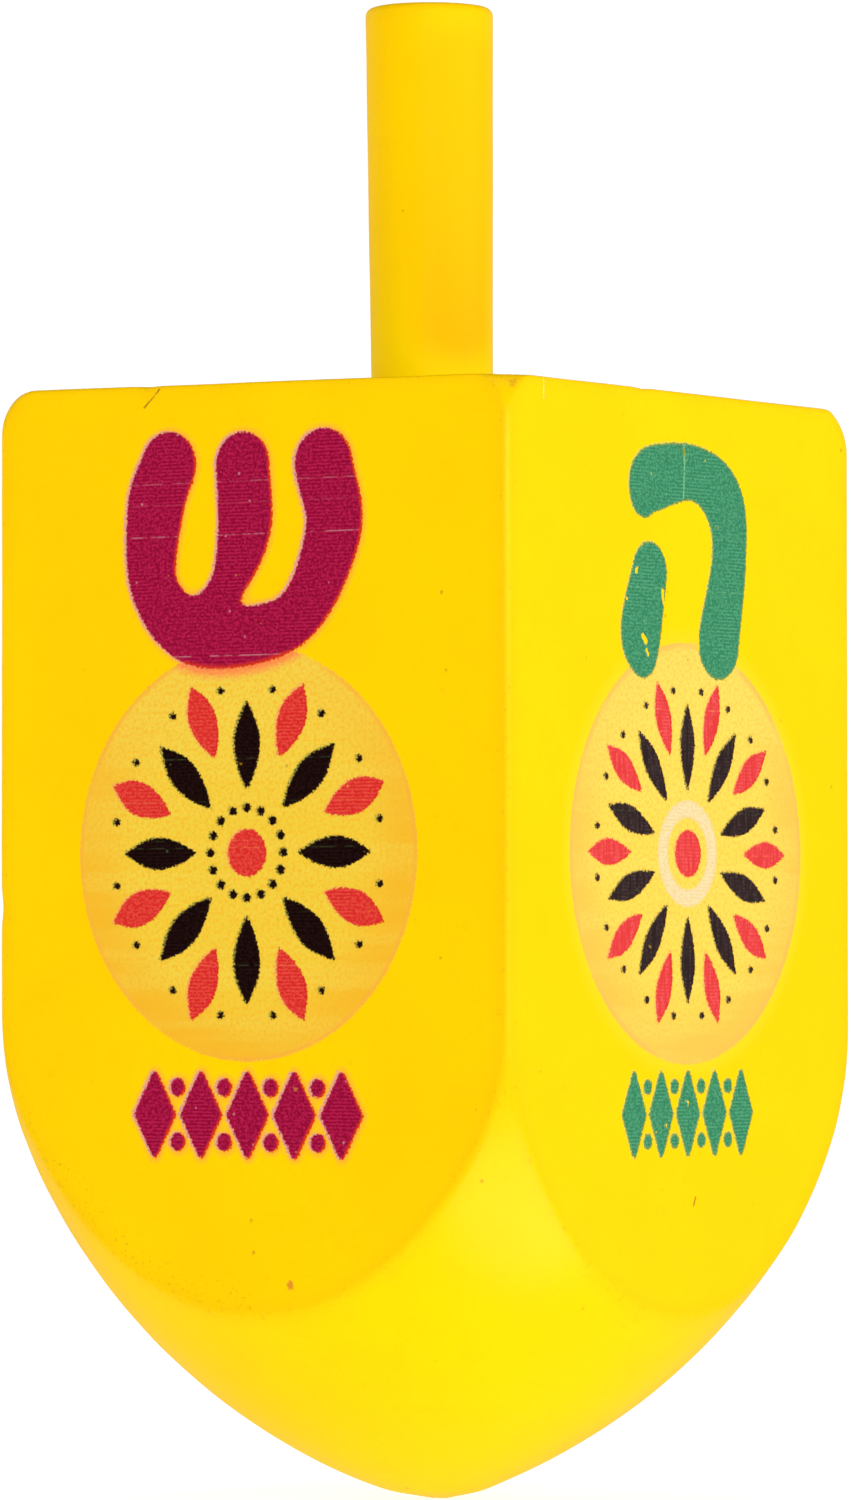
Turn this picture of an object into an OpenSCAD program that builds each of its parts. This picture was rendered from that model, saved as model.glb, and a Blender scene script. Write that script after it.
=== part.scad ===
/* [Block] */
// Width across two opposite flats
block_side = 30; // [22:0.5:40]
// Height from the spinning tip to the flat top
body_height = 53.8; // [40:0.1:80]
// How far turning trims each upright edge, measured along the diagonal
edge_trim = 0.1; // [0.05:0.05:0.8]
// Radius of the turned rounding at the top of each upright edge
corner_r = 2.6; // [1:0.1:4]
// How far that rounding would rise past the flat top, which cuts it off
corner_over = 0.5; // [0.05:0.05:0.6]
// Rounding of the four straight edges round the top
top_edge_r = 0.3; // [0.2:0.1:1]

/* [Spinning point] */
// Radius of the rounded tip
tip_r = 6.5; // [3:0.5:9]
// Slope from level where the tip runs into the flank, in degrees
tip_slope = 20; // [10:1:30]
// Radius of the shoulder that runs into the upright edges
shoulder_r = 16; // [8:0.5:24]
// Slope from level where the flank runs into the shoulder, in degrees
shoulder_slope = 68.5; // [50:0.5:78]

/* [Stem] */
// Diameter of the painted stem
stem_d = 6.1; // [4:0.1:10]
// Height of the stem above the flat top
stem_height = 19.4; // [10:0.2:35]
// Rounding of the stem's upper rim
rim_r = 0.4; // [0.1:0.1:1.5]
// Width of the ledge by which the stem sits on the flat top
ledge_width = 0.55; // [0.2:0.05:1]
// Length of the stem's tenon, which sits in the block
tenon_length = 15; // [8:0.5:22]
// Chamfer on the tenon's lower end
tenon_chamfer = 0.5; // [0.1:0.1:1]

/* [Socket] */
// Gap between tenon and socket wall, filled with glue
glue_gap = 0.1; // [0.05:0.01:0.3]
// Depth of glue under the tenon's lower end
glue_well = 0.6; // [0.2:0.1:2]
// Point angle of the drill that made the socket, in degrees
drill_point = 118; // [90:1:140]

/* [Hidden] */
$fn = 96;
// Longest straight step along a rounded outline
arc_step = 0.8;
// Fewest steps in one arc
min_steps = 8;
// How far a cutting shape reaches past what it cuts
spare = 1;

// The turned outline: tip, flank and shoulder are arcs that meet without a kink
half_side = block_side / 2;
turned_r = half_side * sqrt(2) - edge_trim;
flank_run = turned_r - shoulder_r * (1 - sin(shoulder_slope)) - tip_r * sin(tip_slope);
flank_r = flank_run / (sin(shoulder_slope) - sin(tip_slope));
tip_centre = [0, tip_r];
flank_centre = tip_centre + (tip_r - flank_r) * outward(tip_slope);
shoulder_centre = flank_centre + (flank_r - shoulder_r) * outward(shoulder_slope);
corner_centre = [turned_r - corner_r, body_height + corner_over - corner_r];
top_edge_centre = [half_side - top_edge_r, body_height - top_edge_r];

// The stem and the socket drilled for it
stem_r = stem_d / 2;
stem_top = body_height + stem_height;
rim_centre = [stem_r - rim_r, stem_top - rim_r];
tenon_r = stem_r - ledge_width;
tenon_end = body_height - tenon_length;
socket_r = tenon_r + glue_gap;
socket_floor = tenon_end - glue_well;
socket_point = socket_floor - socket_r / tan(drill_point / 2);

// Direction of an angle that is 0 straight down, 90 to the side and 180 straight up
function outward(angle) = [sin(angle), -cos(angle)];

// Points along an arc after its first one
function arc(centre, r, from, to) =
    let (steps = max(min_steps, ceil(r * (to - from) * PI / 180 / arc_step)))
    [for (i = [1:steps]) centre + r * outward(from + (to - from) * i / steps)];

// Half outline that the lathe cuts, from the tip to a little above the flat top
function turned_outline() = concat(
    [[0, 0]],
    arc(tip_centre, tip_r, 0, tip_slope),
    arc(flank_centre, flank_r, tip_slope, shoulder_slope),
    arc(shoulder_centre, shoulder_r, shoulder_slope, 90),
    [[turned_r, corner_centre.y]],
    arc(corner_centre, corner_r, 90, 180),
    [[0, body_height + corner_over]]
);

// Outline of the squared bar seen from one side, with its top edges rounded
function bar_outline() = concat(
    [[-half_side, -spare], [half_side, -spare], [half_side, top_edge_centre.y]],
    arc(top_edge_centre, top_edge_r, 90, 180),
    [[-top_edge_centre.x, body_height]],
    arc([-top_edge_centre.x, top_edge_centre.y], top_edge_r, 180, 270)
);

// Half outline of the stem's tenon, from its lower end up to the flat top
function tenon_outline() = [
    [0, tenon_end],
    [tenon_r - tenon_chamfer, tenon_end],
    [tenon_r, tenon_end + tenon_chamfer],
    [tenon_r, body_height]
];

// One pair of flats, with the top edges between them
module bar() {
    rotate([90, 0, 0])
        linear_extrude(height = 2 * (turned_r + spare), center = true)
            polygon(bar_outline());
}

// Drilled hole for the tenon, open through the flat top
module socket() {
    rotate_extrude()
        polygon([
            [0, socket_point],
            [socket_r, socket_floor],
            [socket_r, body_height + spare],
            [0, body_height + spare]
        ]);
}

// Square block turned to a blunt point, so the flats end in scalloped arcs
module body() {
    color("gold")
        difference() {
            intersection() {
                rotate_extrude()
                    polygon(turned_outline());
                bar();
                rotate([0, 0, 90])
                    bar();
            }
            socket();
        }
}

// Round stem with a slimmer tenon, so that its ledge sits on the flat top and hides the socket
module stem() {
    color("gold")
        rotate_extrude()
            polygon(concat(
                tenon_outline(),
                [[stem_r, body_height], [stem_r, rim_centre.y]],
                arc(rim_centre, rim_r, 90, 180),
                [[0, stem_top]]
            ));
}

// Cured glue that fills the gap round the tenon and the drill point under it
module stem_glue() {
    color("wheat")
        rotate_extrude()
            polygon(concat(
                tenon_outline(),
                [[socket_r, body_height], [socket_r, socket_floor], [0, socket_point]]
            ));
}

body();
stem();
stem_glue();
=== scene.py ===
"""Looks of a painted wooden dreidel: block, stem, printed faces, light and camera."""
import math

import bpy
import numpy as np
from mathutils import Matrix, Vector


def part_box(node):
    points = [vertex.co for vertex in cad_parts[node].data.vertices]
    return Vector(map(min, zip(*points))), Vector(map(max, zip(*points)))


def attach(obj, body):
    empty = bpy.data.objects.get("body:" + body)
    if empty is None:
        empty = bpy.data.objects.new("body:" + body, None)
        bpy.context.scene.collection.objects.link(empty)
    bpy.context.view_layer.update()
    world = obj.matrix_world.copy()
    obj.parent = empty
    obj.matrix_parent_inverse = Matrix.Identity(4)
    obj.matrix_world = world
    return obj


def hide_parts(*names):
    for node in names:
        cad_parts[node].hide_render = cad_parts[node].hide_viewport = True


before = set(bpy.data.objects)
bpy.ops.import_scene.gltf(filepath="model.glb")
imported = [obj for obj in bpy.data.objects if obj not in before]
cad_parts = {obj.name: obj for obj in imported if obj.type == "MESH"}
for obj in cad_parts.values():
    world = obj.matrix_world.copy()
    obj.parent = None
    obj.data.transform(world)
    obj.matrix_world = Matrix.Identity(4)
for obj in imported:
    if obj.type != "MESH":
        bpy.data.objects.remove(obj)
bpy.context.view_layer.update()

# Sizes in millimetres; those of the block and the stem come from the frame
MM = 0.001
_, body_high = (np.array(corner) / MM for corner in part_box("body"))
stem_low, stem_high = (np.array(corner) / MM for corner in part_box("stem"))
glue_low, glue_high = (np.array(corner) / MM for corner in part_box("stem_glue"))
HALF_SIDE = body_high[0]
BODY_TOP = body_high[2]
STEM_R = stem_high[0]
STEM_TOP = stem_high[2] + 0.06
TENON_END = stem_low[2]
SOCKET_R = glue_high[0]
SOCKET_POINT = glue_low[2]

# The turned outline: tip, flank and shoulder arcs that meet without a kink
EDGE_TRIM = 0.1
TIP_R = 6.5
TIP_SLOPE = math.radians(20)
SHOULDER_R = 16.0
SHOULDER_SLOPE = math.radians(68.5)
CORNER_R = 2.6
CORNER_OVER = 0.5
TURNED_R = HALF_SIDE * math.sqrt(2) - EDGE_TRIM
FLANK_RUN = TURNED_R - SHOULDER_R * (1 - math.sin(SHOULDER_SLOPE)) - TIP_R * math.sin(TIP_SLOPE)
FLANK_R = FLANK_RUN / (math.sin(SHOULDER_SLOPE) - math.sin(TIP_SLOPE))

# How far the paint softens each kind of edge
SOFT_UPRIGHT = 0.12
SOFT_TRIM = 0.1
SOFT_SCALLOP = 0.18
SOFT_TOP = 0.15
EDGE_WEAR = 0.4
# Width of the painted highlight strip on the upright edges
HIGHLIGHT_STRIP_WIDTH = 0.16

# Rows of the block's skin
TOP_BAND = 10
ROW_PITCH = 0.45

# Small errors of the hand-made toy: its top is sawn a little askew, and its point and its stem
# stand a little off the middle, towards one corner
UNEVEN = 0.012
FLAT_SINK = 0.012
FLAT_WAVE = 0.018
TOP_LIFT = 0.07
TOP_LEAN = (-0.01, -0.007)
ASIDE = np.array([0.82, 0.57])
POINT_ASIDE = 0.17
TIP_ASIDE = 0.45
TIP_CONE = math.radians(10.5)
STEM_FOOT_ASIDE = 0.21
STEM_TOP_ASIDE = 0.08

# Stem and socket
STEM_TOP_R = STEM_R + 0.09
STEM_FOOT_R = STEM_R - 0.065
RIM_R = 0.4
LEDGE_WIDTH = 0.55
TENON_CHAMFER = 0.5
CROWN = 0.02
# How far up the stem the painted light at its foot reaches
FOOT_LIGHT_REACH = 6
DRILL_HALF_ANGLE = math.radians(59)

# Printed films
INK_HEIGHT = 0.002
GROUND_HEIGHT = 0.004
FILM_EDGE = 0.003
FILM_SINK = 0.06
FILM_TAPER = 0.4
GROUND_MARGIN = (0.5, 1.1)
LETTER_PITCH = 0.16
GROUND_PITCH = 0.22
RASTER_PITCH = 0.17
LETTER_FLOW = 0.7
# Each face's prints take their noise from another level
FACE_STEP = 40.0

# Linear colours
YELLOW = (0.93, 0.57, 0)
PALE_YELLOW = (0.95, 0.6, 0)
DEEP_YELLOW = (0.91, 0.53, 0)
# Painted light at the stem's foot
FOOT_LIGHT_YELLOW = (0.97, 0.72, 0)
# Painted shade along one side of the stem
SIDE_SHADE_YELLOW = (0.9, 0.49, 0)
# Painted highlight along the upright edges
HIGHLIGHT_STRIP_YELLOW = (0.97, 0.65, 0.03)
MAGENTA = (0.22, 0.0005, 0.025)
MAGENTA_LIGHT = (0.46, 0.012, 0.07)
PINK = (0.62, 0.26, 0.3)
RED_ORANGE = (0.62, 0.03, 0.004)
ORANGE = (0.86, 0.36, 0.03)
GREEN = (0.022, 0.17, 0.08)
GREEN_LIGHT = (0.08, 0.31, 0.16)
GREEN_PALE = (0.16, 0.4, 0.2)
OLIVE = (0.25, 0.26, 0.015)
BLACK = (0.004, 0.0006, 0.0006)
BLACK_LIGHT = (0.018, 0.005, 0.004)
GREY_BROWN = (0.02, 0.011, 0.011)
GREY_BROWN_LIGHT = (0.07, 0.042, 0.04)
TEAL = (0.06, 0.1, 0.035)
RED = (0.6, 0.014, 0.012)
RED_LIGHT = (0.72, 0.07, 0.05)
ROSE = (0.62, 0.035, 0.035)
ROSE_LIGHT = (0.72, 0.1, 0.1)
SALMON = (0.82, 0.3, 0.1)
CREAM = (0.74, 0.6, 0.34)
CREAM_DEEP = (0.68, 0.5, 0.22)
SPECK_BROWN = (0.3, 0.13, 0.01)
DULL_ORANGE = (0.62, 0.28, 0.01)
RUST = (0.6, 0.18, 0.02)
BLUSH = (0.85, 0.18, 0.07)
HAIR_WHITE = (0.9, 0.75, 0.35)
GLUE_AMBER = (0.72, 0.58, 0.34)
GLUE_BROWN = (0.5, 0.34, 0.14)
BOARD_DEEP = (0.58, 0.58, 0.58)
BOARD_PALE = (0.62, 0.62, 0.62)

# Tones of the medallions: those of the front and back, then the paler ones of the other two
GROUND_TONES = {
    "middle": ((0.79, 0.55, 0.042), (0.86, 0.57, 0.07)),
    "top": ((0.8, 0.59, 0.07), (0.87, 0.6, 0.1)),
    "edge": ((0.82, 0.43, 0.02), (0.8, 0.45, 0.06)),
    "rim": ((0.83, 0.4, 0.04), (0.78, 0.42, 0.075)),
}
GROUND_HALO = (0.93, 0.575, 0.009)
PAINT_SHINE = 0.02
PAINT_RELIEF = 0.004
# Painted shade, a deeper tone along one side of the stem: its two ends, then where it starts and is full
SIDE_SHADE_LINE = ((2.7, -1.1, 70.2), (2.7, -1.1, 57.6))
SIDE_SHADE_REACH = (3.2, 0.8)


def outward(angle):
    """Direction of an angle that is 0 straight down and 90 degrees to the side."""
    return np.array([math.sin(angle), -math.cos(angle)])


TIP_CENTRE = np.array([0.0, TIP_R])
FLANK_CENTRE = TIP_CENTRE + (TIP_R - FLANK_R) * outward(TIP_SLOPE)
SHOULDER_CENTRE = FLANK_CENTRE + (FLANK_R - SHOULDER_R) * outward(SHOULDER_SLOPE)
CORNER_CENTRE = np.array([TURNED_R - CORNER_R, BODY_TOP + CORNER_OVER - CORNER_R])


# The shape of the painted block, as a distance that is negative inside

def waves(first, second, length, seed, count=5):
    """Smooth unevenness between about -1 and 1, the same on each run."""
    draw = np.random.default_rng(seed)
    total = np.zeros(np.broadcast(first, second).shape)
    for _ in range(count):
        heading = draw.uniform(0, 2 * math.pi)
        turn = 2 * math.pi / (length * draw.uniform(0.7, 1.5))
        phase = draw.uniform(0, 2 * math.pi)
        along = first * math.cos(heading) + second * math.sin(heading)
        total += np.sin(along * turn + phase)
    return total / count


def soft_max(first, second, soft):
    """The larger of two distances, rounded off where they are about equal."""
    near = np.maximum(soft - np.abs(first - second), 0) / soft
    return np.maximum(first, second) + near * near * soft / 4


def bell(distance):
    """1 at a distance of 0, falling smoothly to 0."""
    return np.exp(-distance ** 2)


def flat_dip(face, across, height):
    """How far a flat lies under its true plane, in millimetres."""
    return FLAT_SINK + FLAT_WAVE * waves(across, height * 0.5, 11.0, 40 + face)


def point_aside(height):
    """How far the turned point stands off the middle at each height."""
    fade = np.clip((SHOULDER_CENTRE[1] - height) / 6, 0, 1)
    return (POINT_ASIDE + TIP_ASIDE * np.exp(-height / 0.5)) * fade


def turned_distance(radius, height):
    """Distance from the surface that the lathe cut, without the flats."""
    def from_arc(centre, arc_r):
        return np.hypot(radius - centre[0], height - centre[1]) - arc_r

    slope = np.arctan2(radius - FLANK_CENTRE[0], FLANK_CENTRE[1] - height)
    lower = np.select(
        [slope < TIP_SLOPE, slope < SHOULDER_SLOPE],
        [from_arc(TIP_CENTRE, TIP_R), from_arc(FLANK_CENTRE, FLANK_R)],
        from_arc(SHOULDER_CENTRE, SHOULDER_R),
    )
    corner = (radius > CORNER_CENTRE[0]) & (height > CORNER_CENTRE[1])
    upper = np.where(corner, from_arc(CORNER_CENTRE, CORNER_R), radius - TURNED_R)
    return np.where(height < SHOULDER_CENTRE[1], lower, upper)


# Small knocks in the paint: place, reach and depth
DENTS = (
    ((-6.1, -15.0, 53.8), 0.4, 0.12),
    ((15.0, -3.4, 53.8), 0.4, 0.07),
    ((14.9, -14.9, 44.5), 0.4, 0.05),
    ((14.9, -14.9, 33.0), 0.6, 0.05),
    ((-15.0, 14.9, 40.0), 0.7, 0.12),
    ((-14.9, -14.9, 29.0), 0.6, 0.08),
    ((3.0, 15.0, 53.8), 0.5, 0.1),
    ((-15.0, 6.0, 53.8), 0.45, 0.12),
)


def block_walls(points):
    """Distances from the two pairs of flats, the turned surface and the top."""
    x, y, z = np.moveaxis(points, -1, 0)
    aside = point_aside(z)
    radius = np.hypot(x - aside * ASIDE[0], y - aside * ASIDE[1])
    across_x = np.abs(x) - HALF_SIDE + np.where(x > 0, flat_dip(1, y, z), flat_dip(3, -y, z))
    across_y = np.abs(y) - HALF_SIDE + np.where(y > 0, flat_dip(2, -x, z), flat_dip(0, x, z))
    around = np.arctan2(y, x) * TURNED_R
    lean = TOP_LEAN[0] * x + TOP_LEAN[1] * y
    leaned = z - lean * np.clip((z - BODY_TOP + 8) / 4, 0, 1)
    turned = turned_distance(radius, leaned) + UNEVEN * (1 + waves(around, z, 9.0, 7))
    turned += 0.004 * np.sin(z * 2.3 + 0.6 * np.sin(z * 0.71))
    turned = soft_max(turned, radius * math.sin(TIP_CONE) - z * math.cos(TIP_CONE), 0.08)
    top = z - BODY_TOP - TOP_LIFT - lean
    return across_x, across_y, turned, top + UNEVEN * waves(x, y, 8.0, 11)


def block_distance(points):
    """Distance from the painted block, with its edges softened and knocked."""
    across_x, across_y, turned, top = block_walls(points)
    square = soft_max(across_x, across_y, SOFT_UPRIGHT)
    below = np.clip((SHOULDER_CENTRE[1] + 2 - points[..., 2]) / 6, 0, 1)
    sides = soft_max(square, turned, SOFT_TRIM + (SOFT_SCALLOP - SOFT_TRIM) * below)
    whole = soft_max(sides, top, SOFT_TOP)
    for place, reach, depth in DENTS:
        away = np.linalg.norm(points - np.array(place), axis=-1)
        whole = whole + depth * bell(away / reach)
    return whole


def edge_nearness(points):
    """1 on the block's edges, falling to 0 away from them."""
    second = np.sort(np.abs(np.stack(block_walls(points))), axis=0)[1]
    return bell(second / EDGE_WEAR)


def highlight_strip_nearness(points):
    """1 on the four upright edges, where a lighter strip is painted as a highlight, falling to 0 beside
    them.
    """
    across_x, across_y, _, top = block_walls(points)
    low = np.clip((points[..., 2] - SHOULDER_CENTRE[1] + 4) / 3, 0, 1)
    high = np.clip(1 + (top + 6) / 16, 0.3, 1)
    under_top = np.clip(-top / 2 - 0.5, 0, 1)
    return bell(np.hypot(across_x, across_y) / HIGHLIGHT_STRIP_WIDTH) * low * high * under_top


def sandy_nearness(points):
    """1 beside the scalloped edge of the front's left half, where grit stuck to the paint."""
    _, across_y, turned, _ = block_walls(points)
    on_front = (points[..., 1] < 0) & (np.abs(across_y) < 0.15) & (points[..., 0] < 1)
    low = np.clip((SHOULDER_CENTRE[1] - 3 - points[..., 2]) / 4, 0, 1)
    return bell((turned + 0.5) / 0.7) * on_front * low


def settle(starts, targets, past=1.15, halvings=26):
    """Moves each target along its line from its start until it lies on the block."""
    run = targets - starts
    low = np.zeros(run.shape[:-1])
    high = np.full(run.shape[:-1], past)
    for _ in range(halvings):
        middle = (low + high) / 2
        inside = block_distance(starts + run * middle[..., None]) < 0
        low = np.where(inside, middle, low)
        high = np.where(inside, high, middle)
    return starts + run * low[..., None]


# Meshes

def new_object(name, points, faces, material):
    """A mesh object from points in millimetres."""
    mesh = bpy.data.meshes.new(name)
    mesh.from_pydata((np.asarray(points) * MM).tolist(), [], faces)
    mesh.materials.append(material)
    piece = bpy.data.objects.new(name, mesh)
    bpy.context.scene.collection.objects.link(piece)
    return piece


def make_object(name, points, faces, material, smooth=True):
    """A piece of the toy; smooth may be one flag per face."""
    piece = new_object(name, points, faces, material)
    polygons = piece.data.polygons
    polygons.foreach_set("use_smooth", np.full(len(polygons), smooth))
    piece.data.update()
    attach(piece, "root")
    return piece


def add_attribute(piece, name, values):
    """Stores one number or one vector at each point of a piece."""
    values = np.asarray(values, dtype=np.float32)
    kind, field = ("FLOAT", "value") if values.ndim == 1 else ("FLOAT_VECTOR", "vector")
    attribute = piece.data.attributes.new(name=name, type=kind, domain="POINT")
    attribute.data.foreach_set(field, values.ravel())


def full_turn(count):
    """Even angles all round."""
    return np.arange(count) * 2 * math.pi / count


def headings(angles):
    """The direction in plan at each angle."""
    return np.stack([np.cos(angles), np.sin(angles)], axis=1)


def level_ring(heading, radius, height):
    """A level ring of points round the axis."""
    return np.column_stack([heading * radius, np.full(len(heading), height)])


def ring_faces(first, second, count):
    """Quads between two closed rings of points that start at the given indices."""
    faces = []
    for i in range(count):
        j = (i + 1) % count
        faces.append((first + i, first + j, second + j, second + i))
    return faces


def revolved_rings(rows, end_low, end_high):
    """Points and faces of a closed skin: an end point, rings of points, an end point."""
    count = len(rows[0])
    points = [np.array([end_low])] + [np.asarray(row) for row in rows] + [np.array([end_high])]
    faces = [(0, 1 + (i + 1) % count, 1 + i) for i in range(count)]
    for k in range(len(rows) - 1):
        faces += ring_faces(1 + k * count, 1 + (k + 1) * count, count)
    last = 1 + (len(rows) - 1) * count
    tip = last + count
    faces += [(last + i, last + (i + 1) % count, tip) for i in range(count)]
    return np.concatenate(points), faces


def column_angles(per_half_face=44, crowding=1.7):
    """Angles round the block, close together at the upright edges."""
    share = np.arange(per_half_face) / per_half_face
    offset = np.arctan(1 - (1 - share) ** crowding)
    quarter = np.concatenate([[-math.pi / 4], -offset[:0:-1], offset])
    return np.concatenate([quarter + k * math.pi / 2 for k in range(4)])


def turned_profile(spacing):
    """Points along the lathe's cut from just past the tip up to the shoulder."""
    points = []
    spans = (
        (TIP_CENTRE, TIP_R, 0.0, TIP_SLOPE),
        (FLANK_CENTRE, FLANK_R, TIP_SLOPE, SHOULDER_SLOPE),
        (SHOULDER_CENTRE, SHOULDER_R, SHOULDER_SLOPE, math.pi / 2),
    )
    for centre, arc_r, start, end in spans:
        steps = math.ceil(arc_r * (end - start) / spacing)
        points += [centre + arc_r * outward(start + (end - start) * i / steps) for i in range(1, steps + 1)]
    return np.array(points)


def block_rows(heading):
    """Rings of points from the tip up, which follow the scalloped edges; each has its start."""
    square_r = HALF_SIDE / np.abs(heading).max(axis=1)
    reach = np.minimum(square_r, TURNED_R)
    lean = heading @ ASIDE
    hub, top_hub, inner = SHOULDER_CENTRE[1], BODY_TOP - TOP_BAND, SOCKET_R + 0.05
    profile = turned_profile(0.02)
    along = np.cumsum(np.append(0, np.linalg.norm(np.diff(profile, axis=0), axis=1)))
    turned_r = profile[:, :1] + point_aside(profile[:, 1:]) * lean
    last = np.minimum((turned_r < square_r).sum(axis=0), len(profile) - 1)
    starts, targets = [], []

    def add_row(start_height, radius, height):
        height = np.broadcast_to(height, radius.shape)
        targets.append(np.column_stack([heading * radius[:, None], height]))
        starts.append(np.broadcast_to([0.0, 0.0, start_height], targets[-1].shape))

    for share in 1 - (1 - np.linspace(0, 1, 97)[1:]) ** 1.3:
        height = np.interp(along[last] * share, along, profile[:, 1])
        radius = np.interp(along[last] * share, along, profile[:, 0])
        add_row(hub, radius + point_aside(height) * lean, height)
    crease = profile[last, 1]
    for share in np.linspace(0, 1, 37)[1:] ** 1.5:
        add_row(hub, reach, crease + (hub + 1 - crease) * share)
    for height in np.arange(hub + 1 + ROW_PITCH, top_hub, ROW_PITCH):
        add_row(height, reach, height)
    for share in np.linspace(0, 1, 34)[:-1]:
        add_row(top_hub, reach, top_hub + TOP_BAND * (1 - (1 - share) ** 1.8))
    for share in np.linspace(0, 1, 26):
        add_row(top_hub, inner + (reach - inner) * (1 - share ** 1.7), BODY_TOP)
    return np.array(starts), np.array(targets)


def make_block(material):
    """The painted block with its turned point, scalloped flats and drilled socket."""
    heading = headings(column_angles())
    rows = list(settle(*block_rows(heading)))
    wall_floor = SOCKET_POINT + SOCKET_R / math.tan(DRILL_HALF_ANGLE)
    socket = ((SOCKET_R, BODY_TOP - 0.3), (SOCKET_R, wall_floor), (SOCKET_R * 0.4, SOCKET_POINT + 0.65))
    rows += [level_ring(heading, radius, height) for radius, height in socket]
    tip = settle(np.array([[0.0, 0.0, SHOULDER_CENTRE[1]]]), np.array([[0.0, 0.0, 0.0]]))[0]
    points, faces = revolved_rings(rows, tip, [0.0, 0.0, SOCKET_POINT])
    block = make_object("painted_block", points, faces, material)
    add_attribute(block, "edge", edge_nearness(points))
    # Where the painted highlight along the upright edges lies
    add_attribute(block, "upright", highlight_strip_nearness(points))
    add_attribute(block, "sandy", sandy_nearness(points))
    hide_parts("body")


def stem_middle(height):
    """Where the middle of the stem lies at a height above the block."""
    share = (height - BODY_TOP) / (STEM_TOP - BODY_TOP)
    return ASIDE * (STEM_FOOT_ASIDE + (STEM_TOP_ASIDE - STEM_FOOT_ASIDE) * share)


def make_stem(material):
    """The painted dowel, a little slimmer at its foot, with a tenon under it."""
    columns = 128
    angles = full_turn(columns)
    heading = headings(angles)
    tenon_r = STEM_R - LEDGE_WIDTH
    tenon = (
        (tenon_r - TENON_CHAMFER, TENON_END),
        (tenon_r, TENON_END + TENON_CHAMFER),
        (tenon_r, BODY_TOP),
    )
    rows = [level_ring(heading, radius, height) for radius, height in tenon]
    lengths = np.linspace(0, 1, 60)
    shaft = [
        (STEM_FOOT_R + (STEM_TOP_R - STEM_FOOT_R) * share, BODY_TOP + (STEM_TOP - RIM_R - BODY_TOP) * share)
        for share in lengths
    ]
    rim = [
        (STEM_TOP_R - RIM_R + RIM_R * math.cos(turn), STEM_TOP - RIM_R + RIM_R * math.sin(turn))
        for turn in np.linspace(0, math.pi / 2, 9)[1:]
    ]
    crown = [
        ((STEM_TOP_R - RIM_R) * share, STEM_TOP + CROWN * (1 - share))
        for share in np.linspace(1, 0, 9)[1:-1]
    ]
    for radius, height in shaft + rim + crown:
        uneven = UNEVEN * waves(angles * STEM_R, np.full(columns, height), 6.0, 23)
        uneven += 0.04 * bell((angles - 4.2) / 0.3) * bell((height - STEM_TOP) / 0.5)
        ring = stem_middle(height) + heading * (radius - uneven)[:, None]
        rows.append(np.column_stack([ring, np.full(columns, height)]))
    crown_point = [*stem_middle(STEM_TOP), STEM_TOP + CROWN]
    points, faces = revolved_rings(rows, [0.0, 0.0, TENON_END], crown_point)
    stem = make_object("twist_stem", points, faces, material)
    rim_near = bell((points[:, 2] - STEM_TOP) / 0.5)
    add_attribute(stem, "edge", rim_near * (np.hypot(points[:, 0], points[:, 1]) > STEM_R * 0.8))
    # Painted light: the stem's paint is lighter towards its foot
    add_attribute(stem, "painted_foot_light", bell((points[:, 2] - BODY_TOP) / FOOT_LIGHT_REACH))
    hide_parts("stem")


# Flat shapes for the prints, as distances that are negative inside

def spline(points, steps=8):
    """A smooth path through given points; each holds a place and a half width."""
    points = np.array(points, float)
    padded = np.vstack([2 * points[0] - points[1], points, 2 * points[-1] - points[-2]])
    path = []
    for before, start, end, after in zip(padded, padded[1:], padded[2:], padded[3:]):
        for t in np.arange(steps) / steps:
            path.append(0.5 * (
                2 * start + (end - before) * t
                + (2 * before - 5 * start + 4 * end - after) * t ** 2
                + (3 * start - before - 3 * end + after) * t ** 3
            ))
    return np.array(path + [points[-1]])


def stroke(points):
    """A round-ended brush stroke along a smooth path."""
    path = spline(points)

    def distance(across, height):
        nearest = np.full(np.shape(across), np.inf)
        for (u0, z0, r0), (u1, z1, r1) in zip(path, path[1:]):
            run_u, run_z = u1 - u0, z1 - z0
            along = ((across - u0) * run_u + (height - z0) * run_z) / (run_u ** 2 + run_z ** 2)
            along = np.clip(along, 0, 1)
            away = np.hypot(across - u0 - along * run_u, height - z0 - along * run_z)
            nearest = np.minimum(nearest, away - r0 - along * (r1 - r0))
        return nearest
    return distance


def disc(centre_u, centre_z, radius):
    """A round dot."""
    return lambda across, height: np.hypot(across - centre_u, height - centre_z) - radius


def ring(centre_u, centre_z, radius, half_width):
    """A round band."""
    edge = disc(centre_u, centre_z, radius)
    return lambda across, height: np.abs(edge(across, height)) - half_width


def lozenge(centre_u, centre_z, half_width, half_height, rounding):
    """An upright diamond with rounded corners."""
    wide, tall = half_width - rounding, half_height - rounding

    def distance(across, height):
        u, z = np.abs(across - centre_u), np.abs(height - centre_z)
        share = np.clip(((wide - u) * wide + z * tall) / (wide ** 2 + tall ** 2), 0, 1)
        away = np.hypot(u - wide * (1 - share), z - tall * share)
        return away * np.sign(u * tall + z * wide - wide * tall) - rounding
    return distance


def joined(*shapes):
    """All of the shapes together."""
    return lambda across, height: np.minimum.reduce([shape(across, height) for shape in shapes])


def flowing(soft, *shapes):
    """All of the shapes together, with rounded inner corners where they meet."""
    def distance(across, height):
        total = shapes[0](across, height)
        for shape in shapes[1:]:
            total = -soft_max(-total, -shape(across, height), soft)
        return total
    return distance


def moved(shape, shift_u, shift_z):
    """A shape that was printed a little to one side."""
    return lambda across, height: shape(across - shift_u, height - shift_z)


def grown(shape, margin):
    """A shape that is wider all round by the margin."""
    return lambda across, height: shape(across, height) - margin


def around(centre, count, make, turn=0.0):
    """Copies of a petal or dot round a centre; make takes the centre and the angle."""
    return joined(*[make(*centre, turn + 2 * math.pi * k / count) for k in range(count)])


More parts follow.
